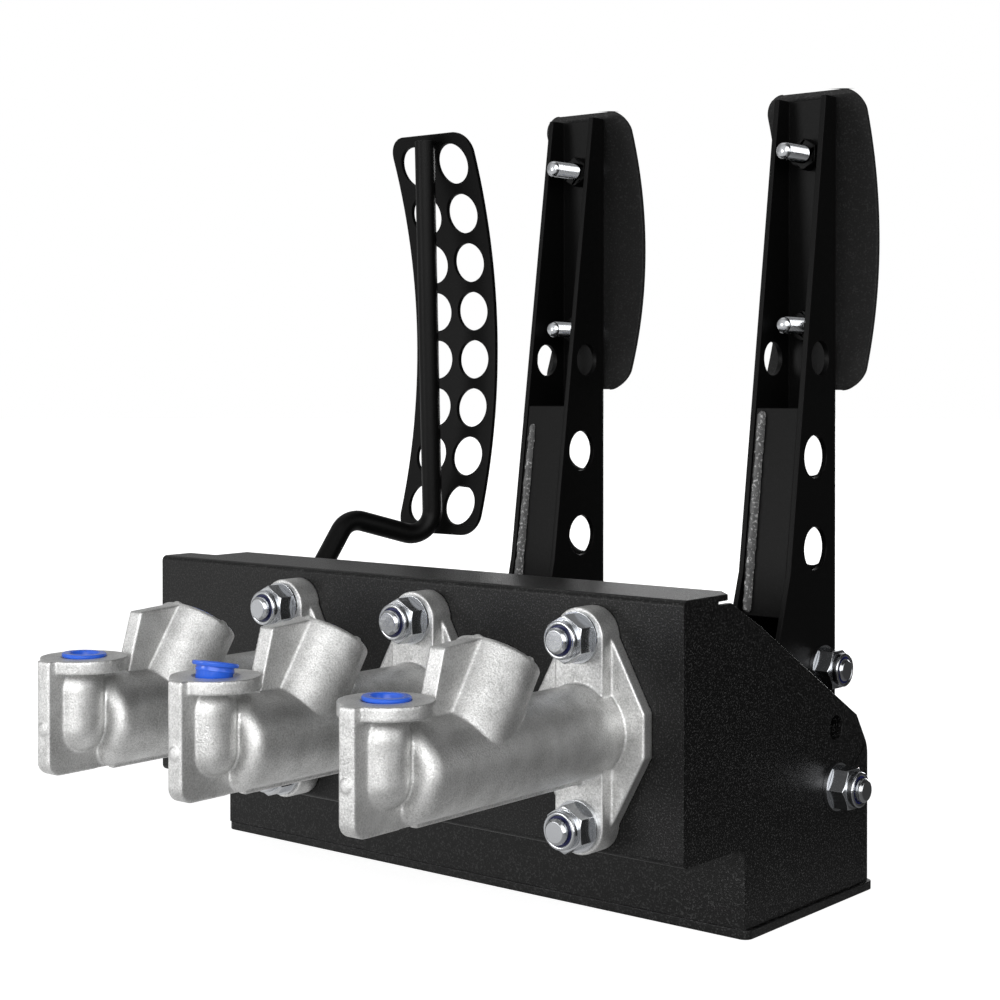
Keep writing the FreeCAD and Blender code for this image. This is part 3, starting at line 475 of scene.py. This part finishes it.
for line in lines:
    casting = joined_copy(line + "_cylinder", line + "_casting")
    low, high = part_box(line + "_cylinder")
    x = (low.x + high.x) / 2
    round_nose(casting, x)
    add_stem(casting, x)
    add_pip(casting, (x, low.y, axis_height), turn=(math.pi / 2, 0.0, 0.0), **web_pip)
    for degrees in (0, 85, 180):
        turn = math.radians(degrees)
        spot = (x + pip_ring * math.cos(turn),
                boss_top_y - pip_ring * math.cos(boss_lean) * math.sin(turn),
                boss_top_z + pip_ring * math.sin(boss_lean) * math.sin(turn))
        add_pip(casting, spot, turn=(-boss_lean, 0.0, 0.0), **rim_pip)
    finish_with(casting, "REMESH", mode="VOXEL", voxel_size=skin_step)
    finish_with(casting, "SMOOTH", factor=0.5, iterations=2)
    only(casting)
    bpy.ops.object.shade_smooth()
    put_on(casting, line + "_cylinder", cast_alloy)


# Pistons, seals, springs and clips
# Turned alloy pistons with moulded rubber seals slide in the bores against steel coil springs, and
# a spring-steel clip in the mouth of each cylinder holds them in. None of it shows from outside.
def metal(name, colour, rough, grain, depth):
    """Clean worked metal: one colour, with a fine tool or plate grain in its gloss."""
    material, tree = new_material(name)
    where = add_node(tree, "ShaderNodeTexCoord").outputs["Object"]
    fine = add_node(tree, "ShaderNodeTexNoise", {"Scale": 1.0 / grain, "Detail": 3.0, "Roughness": 0.6},
                    Vector=where)
    gloss = add_node(tree, "ShaderNodeMapRange",
                     {"From Min": 0.3, "From Max": 0.7, "To Min": rough - 0.05, "To Max": rough + 0.08},
                     Value=fine.outputs["Fac"])
    bump = add_node(tree, "ShaderNodeBump", {"Strength": 0.3, "Distance": depth}, Height=fine.outputs["Fac"])
    shader = add_node(tree, "ShaderNodeBsdfPrincipled", {"Metallic": 1.0, "Base Color": linear(colour)},
                      Roughness=gloss.outputs[0], Normal=bump.outputs[0])
    add_node(tree, "ShaderNodeOutputMaterial", Surface=shader.outputs[0])
    return material


def moulded(name, colour, rough):
    """Moulded plastic or rubber: one colour, with the faint cloudy gloss that a mould gives."""
    material, tree = new_material(name)
    where = add_node(tree, "ShaderNodeTexCoord").outputs["Object"]
    fine = add_node(tree, "ShaderNodeTexNoise", {"Scale": clouds_per_metre, "Detail": 3.0}, Vector=where)
    gloss = add_node(tree, "ShaderNodeMapRange", {"To Min": rough - 0.06, "To Max": rough + 0.08},
                     Value=fine.outputs["Fac"])
    bump = add_node(tree, "ShaderNodeBump", {"Strength": 0.15, "Distance": 0.00005},
                    Height=fine.outputs["Fac"])
    shader = add_node(tree, "ShaderNodeBsdfPrincipled", {"Base Color": linear(colour), "IOR": 1.5},
                      Roughness=gloss.outputs[0], Normal=bump.outputs[0])
    add_node(tree, "ShaderNodeOutputMaterial", Surface=shader.outputs[0])
    return material


def finish_nodes(material, *nodes):
    """Gives its finish to each CAD node that is shown as it stands."""
    for node in nodes:
        for place in frame["nodes"][node].material_slots:
            place.material = material


# Turned alloy is pale and close to a mirror, drawn wire is darker and softer, rubber is dull black.
# Tool marks are 0.2 mm apart, drawn at 1 mm, to show. A mould's clouds are about 1 mm wide.
clouds_per_metre = 900.0
turned_alloy = metal("machined_alloy", "#c9cacb", rough=0.25, grain=0.0010, depth=0.000004)
spring_wire = metal("spring_wire", "#8d8f92", rough=0.30, grain=0.0010, depth=0.00004)
rubber = moulded("black_rubber", "#0c0c0c", rough=0.65)
finish_nodes(turned_alloy, *(line + "_piston" for line in lines))
finish_nodes(rubber, *(line + "_seals" for line in lines))
finish_nodes(spring_wire, "retaining_clips", *(line + "_spring" for line in lines))


# Dust boots
# Moulded black rubber bellows with three folds, gripping the spigot at the back of each cylinder
# and open at the small end, where the pushrod swings.
def turned(name, steps, sides=48):
    """Extrudes a circle up through (radius, height) steps, as on a lathe, and closes its ends."""
    bpy.ops.object.select_all(action="DESELECT")
    bpy.ops.mesh.primitive_circle_add(vertices=sides, radius=steps[0][0], location=(0.0, 0.0, 0.0))
    piece = bpy.context.object
    piece.name = name
    bpy.ops.object.mode_set(mode="EDIT")
    bpy.ops.mesh.select_all(action="SELECT")
    bpy.ops.transform.translate(value=(0.0, 0.0, steps[0][1]))
    for (radius, height), (next_radius, next_height) in zip(steps, steps[1:]):
        bpy.ops.mesh.extrude_region_move(TRANSFORM_OT_translate={"value": (0.0, 0.0, next_height - height)})
        share = next_radius / radius
        bpy.ops.transform.resize(value=(share, share, 1.0), center_override=(0.0, 0.0, next_height))
    bpy.ops.mesh.select_all(action="SELECT")
    bpy.ops.mesh.remove_doubles(threshold=1e-6)
    bpy.ops.mesh.fill_holes(sides=0)
    bpy.ops.mesh.normals_make_consistent(inside=False)
    bpy.ops.object.mode_set(mode="OBJECT")
    return piece


def set_down(piece, place, turn=(0.0, 0.0, 0.0)):
    """Turns a piece, moves it to its place and applies both to its mesh."""
    only(piece)
    piece.rotation_euler = turn
    piece.location = place
    bpy.ops.object.transform_apply(location=True, rotation=True, scale=True)


def join_all(name, pieces):
    """Joins pieces of one kind into one."""
    only(pieces[0])
    for piece in pieces:
        piece.select_set(True)
    bpy.ops.object.join()
    pieces[0].name = name
    return pieces[0]


boot_seat_y = -0.0712
boot_wall = 0.0013
boots = []
for line in lines:
    outside = [(0.0145, 0.0), (0.0145, 0.0038), (0.0125, 0.0052), (0.0142, 0.0072), (0.0142, 0.0080),
               (0.0116, 0.0096), (0.0131, 0.0114), (0.0131, 0.0121), (0.0107, 0.0136), (0.0119, 0.0152),
               (0.0119, 0.0158), (0.0102, 0.0170), (0.0103, 0.0189)]
    inside = [(radius - boot_wall, height) for radius, height in reversed(outside[1:-1])]
    boot = turned(line + "_boot", outside + [(0.0090, 0.0189)] + inside + [(0.0131, 0.0), (0.0145, 0.0)], 56)
    set_down(boot, (centre(line + "_cylinder").x, boot_seat_y, axis_height), (-math.pi / 2, 0.0, 0.0))
    boots.append(boot)
bellows = join_all("rubber_bellows", boots)
smooth(bellows, 60)
put_on(bellows, "dust_boots", rubber)


# Port plugs
# Soft blue polythene caps, injection-moulded and pushed in by hand: a thin rim round a hollow cup
# with four ribs. The middle outlet plug has worked its way out and stands askew.
def plug(name, hole, rim, rim_height, depth):
    """A cup with a rim and crossed ribs, its rim standing on z 0."""
    cup = turned(name, [(0.0012, -depth), (hole - 0.0006, -depth), (hole - 0.0002, -depth + 0.0006),
                        (hole - 0.0002, -0.0018), (hole + 0.0001, -0.0014), (hole - 0.0001, -0.0004),
                        (hole, 0.0), (rim - 0.0002, 0.0), (rim, 0.0003), (rim, rim_height - 0.0003),
                        (rim - 0.0003, rim_height), (hole - 0.0008, rim_height),
                        (hole - 0.0012, rim_height - 0.0004), (hole - 0.0016, -depth + 0.0016),
                        (0.0012, -depth + 0.0014)])
    ribs = [cup]
    for turn in (25.0, 115.0):
        bpy.ops.object.select_all(action="DESELECT")
        bpy.ops.mesh.primitive_cube_add(size=1.0)
        rib = bpy.context.object
        rib.scale = (2 * hole - 0.0024, 0.0009, depth - 0.0022)
        set_down(rib, (0.0, 0.0, -depth / 2 - 0.0004), (0.0, 0.0, math.radians(turn)))
        finish_with(rib, "BEVEL", width=0.0002, segments=2)
        ribs.append(rib)
    cup = join_all(name, ribs)
    smooth(cup, 40)
    return cup


# Low-density polythene: a strong blue with a soft waxy shine.
polythene = moulded("blue_polythene", "#2f63d6", rough=0.18)
outlet_y = -0.16855
seated = (0.0879, (-1.0, 1.0, 0.0))
worked_out = (0.0906, (-10.0, -0.5, 0.0))
outlet_cap = {"hole": 0.00565, "rim": 0.00685, "rim_height": 0.0012, "depth": 0.0045}
inlet_cap = {"hole": 0.00915, "rim": 0.0102, "rim_height": 0.0006, "depth": 0.0060}
plugs = []
for line in lines:
    x = centre(line + "_cylinder").x
    outlet = plug(line + "_outlet_plug", **outlet_cap)
    height, lean = worked_out if line == "rear_brake" else seated
    set_down(outlet, (x, outlet_y, height), [math.radians(degrees) for degrees in lean])
    inlet = plug(line + "_inlet_plug", **inlet_cap)
    set_down(inlet, (x, boss_top_y, boss_top_z), (-boss_lean, 0.0, 0.0))
    plugs += [outlet, inlet]
put_on(join_all("port_caps", plugs), "port_plugs", polythene)


# Bolts, washers and lock nuts
# Bright zinc-plated steel: an M8 bolt through each ear of a cylinder and across the clutch's
# clevis, with washers and lock nuts. Each nut's collar is rolled in over a blue nylon ring.
def rolled_rims(node):
    """Turns the rolled rim of each lock nut's collar, in over the edge of its nylon ring."""
    rings = joined_copy(node, node + "_loose")
    only(rings)
    bpy.ops.mesh.separate(type="LOOSE")
    rims = []
    for ring in list(bpy.context.selected_objects):
        spans = [[point.co[axis] for point in ring.data.vertices] for axis in range(3)]
        x, y, z = ((min(span) + max(span)) / 2 for span in spans)
        rim = turned(ring.name + "_rim", [(0.0055, -0.0008), (0.00588, -0.0005), (0.00585, -0.0001),
                                          (0.0056, 0.0002), (0.0051, 0.0003), (0.0047, 0.0001),
                                          (0.00455, -0.0002), (0.0047, -0.0004), (0.0055, -0.0008)], 40)
        smooth(rim, 80)
        if max(spans[0]) - min(spans[0]) < 0.005:
            set_down(rim, (max(spans[0]) + nylon_recess, y, z), (0.0, math.pi / 2, 0.0))
        else:
            set_down(rim, (x, min(spans[1]) - nylon_recess, z), (math.pi / 2, 0.0, 0.0))
        bpy.data.objects.remove(ring)
        rims.append(rim)
    return rims


# Bright zinc plate is a cool white mirror, and the nylon in it is a dark half-matt blue.
zinc = metal("bright_zinc_plate", "#c3c5c8", rough=0.17, grain=0.0008, depth=0.0000005)
nylon = moulded("blue_nylon", "#10144a", rough=0.35)
nylon_recess = 0.0003
plated_edge = 0.00015
for nuts, rings in (("lock_nuts", "nylon_inserts"), ("clutch_clevis_nut", "clutch_nylon_insert")):
    plated = joined_copy(nuts, nuts + "_plated")
    round_edges(plated, plated_edge)
    put_on(join_all(nuts + "_plated", [plated] + rolled_rims(rings)), nuts, zinc)
    finish_nodes(nylon, rings)
for node in ("flange_bolts", "washers", "clutch_clevis_bolt", "clutch_clevis_washers"):
    soft_edged(node, node + "_plated", zinc, plated_edge)


# Pivot bolt, spacers and hubs
# One long M8 bolt crosses the box from cheek to cheek. The three pedals' hubs turn on it, drawn
# steel tube coated with the arms, and plated spacer tubes keep them apart.
# Smooth powder coat: deep black with a low satin sheen and hardly any grain; its pebble tops carry faint
# painted glints.
satin_coat = powder_coat("satin_powder_coat", "#060606", "#0c0c0c", grain=0.0006, depth=0.00004, rough=0.42,
                         spread=0.03, shine=0.11)
soft_edged("pivot_bolt", "pivot_bolt_plated", zinc, plated_edge)
finish_nodes(zinc, "pivot_spacers")
finish_nodes(satin_coat, "clutch_hub", "brake_hub", "throttle_hub")


# Clutch and brake pedals
# Each arm is laser-cut steel folded to a tapered channel, with a closing plate welded into its
# lower half and a curved pressed pad. Smooth black powder coat covers them, matt on the pads.
# The pads' coat scatters more, and is drawn a shade greyer: a painted sheen of light on their curved backs.
pad_coat_painted_sheen = powder_coat("matt_powder_coat_painted_sheen", "#1c1c1c", "#2c2c2c", grain=0.0007, depth=0.00010, rough=0.50,
                        spread=0.08, shine=0.20)
coated_edge = 0.00035
pedals = ("clutch", "brake")
for pedal in pedals:
    for piece in ("_arm", "_closing_plate", "_pad_nuts"):
        soft_edged(pedal + piece, pedal + piece + "_coated", satin_coat, coated_edge)
    soft_edged(pedal + "_pad", pedal + "_pad_coated", pad_coat_painted_sheen, coated_edge)
    soft_edged(pedal + "_pad_spacers", pedal + "_pad_spacers_plated", zinc, plated_edge)


# Pad studs
# M6 threaded rod, zinc plated, welded to the back of each pad and nutted through the arm's web.
# The thread has a 1 mm pitch; its crests are rolled round.
thread_pitch = 0.0010
thread_crest = 0.00295
thread_root = 0.00248
stud_radius = 0.003
for pedal in pedals:
    low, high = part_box(pedal + "_pad_studs")
    length = high.y - low.y
    turns = int((length - 0.0012) / thread_pitch)
    steps = [(0.0019, 0.0), (0.0025, 0.0006)]
    for turn in range(turns):
        base = 0.0008 + turn * thread_pitch
        steps += [(thread_crest, base + 0.30 * thread_pitch), (thread_crest, base + 0.45 * thread_pitch),
                  (thread_root, base + 0.80 * thread_pitch), (thread_root, base + 0.95 * thread_pitch)]
    steps.append((0.0025, length))
    pair = []
    for z in (low.z + stud_radius, high.z - stud_radius):
        stud = turned(pedal + "_stud", steps, 24)
        set_down(stud, ((low.x + high.x) / 2, low.y, z), (-math.pi / 2, 0.0, 0.0))
        pair.append(stud)
    studs = join_all(pedal + "_threaded_studs", pair)
    smooth(studs, 50)
    put_on(studs, pedal + "_pad_studs", zinc)


# Closing plate welds
# MIG beads laid by hand down the left side of each closing plate, under the same black coat as the
# sheet. They are drawn greyer than it: painted reflection of light on the bead. The puddle froze in ripples
# about 2 mm apart.
def weld_bead(name, start, end, wide, high, node, seed):
    """Lays a rippled flat-bottomed bead from start to end."""
    rng = random.Random(seed)
    run = [b - a for a, b in zip(start, end)]
    length = math.sqrt(sum(part * part for part in run))
    ripples = max(3, int(length / 0.0021))
    steps = [(0.30, 0.0), (0.80, 0.0006)]
    for ripple in range(ripples):
        base = 0.0008 + ripple * (length - 0.0016) / ripples
        swell = rng.uniform(0.90, 1.06)
        steps += [(swell, base + 0.0003), (swell * 1.02, base + 0.0010), (swell * 0.95, base + 0.0018)]
    steps += [(0.75, length - 0.0004), (0.30, length)]
    bead = turned(name, [(share * wide / 2, place) for share, place in steps], 16)
    only(bead)
    bead.scale = (1.0, 2 * high / wide, 1.0)
    bpy.ops.object.transform_apply(location=False, rotation=False, scale=True)
    for point in bead.data.vertices:
        point.co.x += rng.uniform(-0.00014, 0.00014)
        point.co.y += rng.uniform(-0.00014, 0.00014)
    set_down(bead, start, (0.0, math.acos(run[2] / length), math.atan2(run[1], run[0])))
    finish_with(bead, "SUBSURF", levels=1, render_levels=1)
    only(bead)
    bpy.ops.object.shade_smooth()
    coat(bead, weld_painted_reflection)
    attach(bead, frame["nodes"][node]["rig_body"])


# Over a weld the coat is rough; its mid grey, with broad pale flecks, is painted reflection of light on the
# bead.
weld_painted_reflection = powder_coat("weld_coat_painted_reflection", "#565656", "#a4a4a4", grain=0.0010, depth=0.00025, rough=0.42,
                        spread=0.10, shine=0.25)
for pedal, seed, drop in (("clutch", 3, 0.0012), ("brake", 5, 0.0070)):
    low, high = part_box(pedal + "_closing_plate")
    weld_bead(pedal + "_plate_weld", (low.x + 0.0028, low.y + 0.0004, low.z + 0.0010),
              (low.x + 0.0028, high.y - 0.0016, high.z - drop), wide=0.0070, high=0.0013,
              node=pedal + "_closing_plate", seed=seed)


# Throttle pedal
# A curved steel pad with two columns of lightening holes, welded to a bent 8 mm bar that runs
# down to its lever, all under the same smooth black coat as the arms.
for node in ("throttle_pad", "throttle_rod", "throttle_lever"):
    soft_edged(node, node + "_coated", satin_coat, coated_edge)


# Balance bar, clevises and pushrods
# A ground steel bar turns in a spherical bearing, in a tube welded through the brake arm. Alloy
# clevises on it, and one on the clutch arm, push the cylinders' steel rods, locked by plated nuts.
# Ground steel: a mid grey with a clear, slightly soft reflection.
steel = metal("ground_steel", "#b9babc", rough=0.22, grain=0.0015, depth=0.000004)
finish_nodes(satin_coat, "balance_tube")
finish_nodes(steel, "balance_bar", "balance_bearing", *(line + "_pushrod" for line in lines))
finish_nodes(turned_alloy, *(line + "_clevis" for line in lines))
finish_nodes(zinc, *(line + "_rod_nut" for line in lines))
